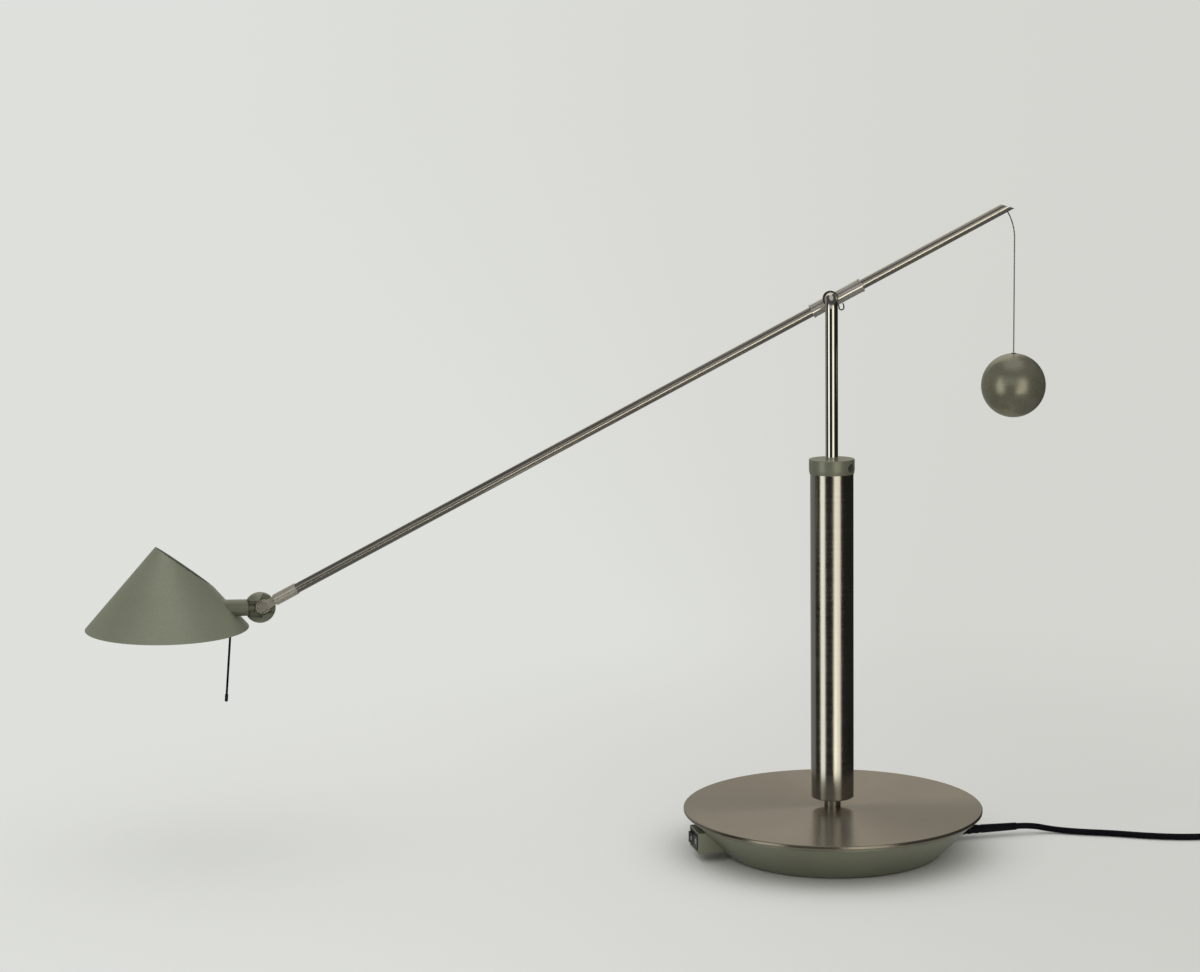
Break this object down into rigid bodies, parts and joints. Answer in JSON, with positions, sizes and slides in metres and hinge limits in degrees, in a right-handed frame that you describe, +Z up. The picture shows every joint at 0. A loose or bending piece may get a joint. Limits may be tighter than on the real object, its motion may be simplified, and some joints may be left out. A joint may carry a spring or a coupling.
{
  "type": "desk lamp",
  "caption": "Counterweight balance desk lamp: round base with upright column, sliding stem, tilting arm, hanging ball and tilting cone shade",
  "frame": {"origin": "centre of the base's underside, on the table", "axes": "+Z up the column; -X along the arm towards the lamp head; +X towards the hanging ball; -Y towards the side that shows the switch and the pivot clip"},
  "size_m": [1.0886, 0.24, 0.5154],
  "materials": {
    "painted_grey_green": "satin metallic paint",
    "painted_aluminium": "satin metallic paint on spun aluminium",
    "painted_casting": "satin metallic paint on a cast iron ball",
    "satin_nickel": "brushed satin nickel",
    "polished_nickel": "polished",
    "dark_steel": "blackened",
    "zinc_steel": "zinc plated",
    "cast_weight": "raw",
    "brass_bush": "machined",
    "black_plastic": "moulded",
    "black_gloss": "moulded, slightly glossy",
    "black_rubber": "matt",
    "felt": "felt",
    "transformer_wrap": "taped windings",
    "ceramic_white": "unglazed",
    "clear_glass": "clear",
    "white_paint": "white inside",
    "bright_aluminium": "spun, bright",
    "cord_rubber": "smooth round lead"
  },
  "bodies": {
    "base": {"base_body": "painted_grey_green", "base_top_plate": "satin_nickel", "bottom_cover": "zinc_steel", "foot_pad": "felt", "cover_screws": "zinc_steel", "ballast_ring": "cast_weight", "toroid_transformer": "transformer_wrap", "transformer_pads": "black_rubber", "terminal_block": "black_plastic", "switch_box": "painted_grey_green", "switch_insert": "black_plastic", "switch_tabs": "brass_bush", "spigot": "satin_nickel", "spigot_nut": "zinc_steel", "spigot_washer": "zinc_steel", "retaining_ring": "dark_steel", "cord_gland": "black_plastic", "strain_relief": "black_rubber", "cord_lead": "cord_rubber", "cord_coil": "cord_rubber", "plug_body": "black_rubber", "plug_pins": "satin_nickel"},
    "switch_key": {"rocker": "black_gloss"},
    "column": {"column_tube": "satin_nickel", "lower_bearing": "brass_bush", "thrust_washer": "brass_bush", "upper_guide": "brass_bush", "collar": "painted_grey_green", "set_screw": "dark_steel"},
    "stem_body": {"stem": "polished_nickel", "stem_stop": "brass_bush", "spring_clip": "dark_steel"},
    "arm": {"arm_sleeve": "polished_nickel", "sleeve_rings": "polished_nickel", "pivot_bush": "polished_nickel", "arm_tube": "satin_nickel", "arm_lead": "black_rubber", "arm_eye": "polished_nickel"},
    "knuckle": {"knuckle_ball": "painted_aluminium", "knuckle_screw": "polished_nickel", "friction_washer": "black_rubber"},
    "head": {"head_neck": "painted_aluminium", "shade": "painted_aluminium", "neck_nut": "zinc_steel", "lamp_holder": "ceramic_white", "halogen_capsule": "clear_glass", "capsule_pins": "satin_nickel", "inner_reflector": "bright_aluminium", "positioning_rod": "dark_steel", "rod_tip": "black_rubber"},
    "hanger": {"wire_stop": "satin_nickel"},
    "counterweight": {"suspension_wire": "dark_steel", "counterweight_ball": "painted_casting", "ball_insert": "dark_steel"}
  },
  "joints": [
    {"name": "switch_rock", "type": "hinge", "parent": "base", "child": "switch_key", "pos_m": [-0.10897, -0.02316, 0.0155], "axis": [0, 0, 1], "range_deg": [-10, 0]},
    {"name": "column_swivel", "type": "hinge", "parent": "base", "child": "column", "pos_m": [0, 0, 0.0431], "axis": [0, 0, 1], "range_deg": [-170, 170]},
    {"name": "stem_slide", "type": "slide", "parent": "column", "child": "stem_body", "axis": [0, 0, 1], "range_m": [-0.04, 0.1]},
    {"name": "arm_tilt", "type": "hinge", "parent": "stem_body", "child": "arm", "pos_m": [0, 0.0183, 0.4437], "axis": [0, -1, 0], "range_deg": [-55, 15]},
    {"name": "head_tilt", "type": "hinge", "parent": "arm", "child": "knuckle", "pos_m": [-0.45633, 0.0183, 0.20175], "axis": [0, 1, 0], "range_deg": [-40, 40]},
    {"name": "shade_turn", "type": "hinge", "parent": "knuckle", "child": "head", "pos_m": [-0.45944, 0.0228, 0.20013], "axis": [1, 0, 0], "range_deg": [-60, 60]},
    {"name": "cable_plumb", "type": "hinge", "parent": "arm", "child": "hanger", "pos_m": [0.1396, 0.0183, 0.51166], "axis": [0, -1, 0], "range_deg": [-15, 55]},
    {"name": "ball_swing", "type": "hinge", "parent": "hanger", "child": "counterweight", "pos_m": [0.1396, 0.0183, 0.51166], "axis": [1, 0, 0], "range_deg": [-10, 10]}
  ],
  "couplings": [
    {"joint": "cable_plumb", "follows": "arm_tilt", "ratio": -1}
  ]
}
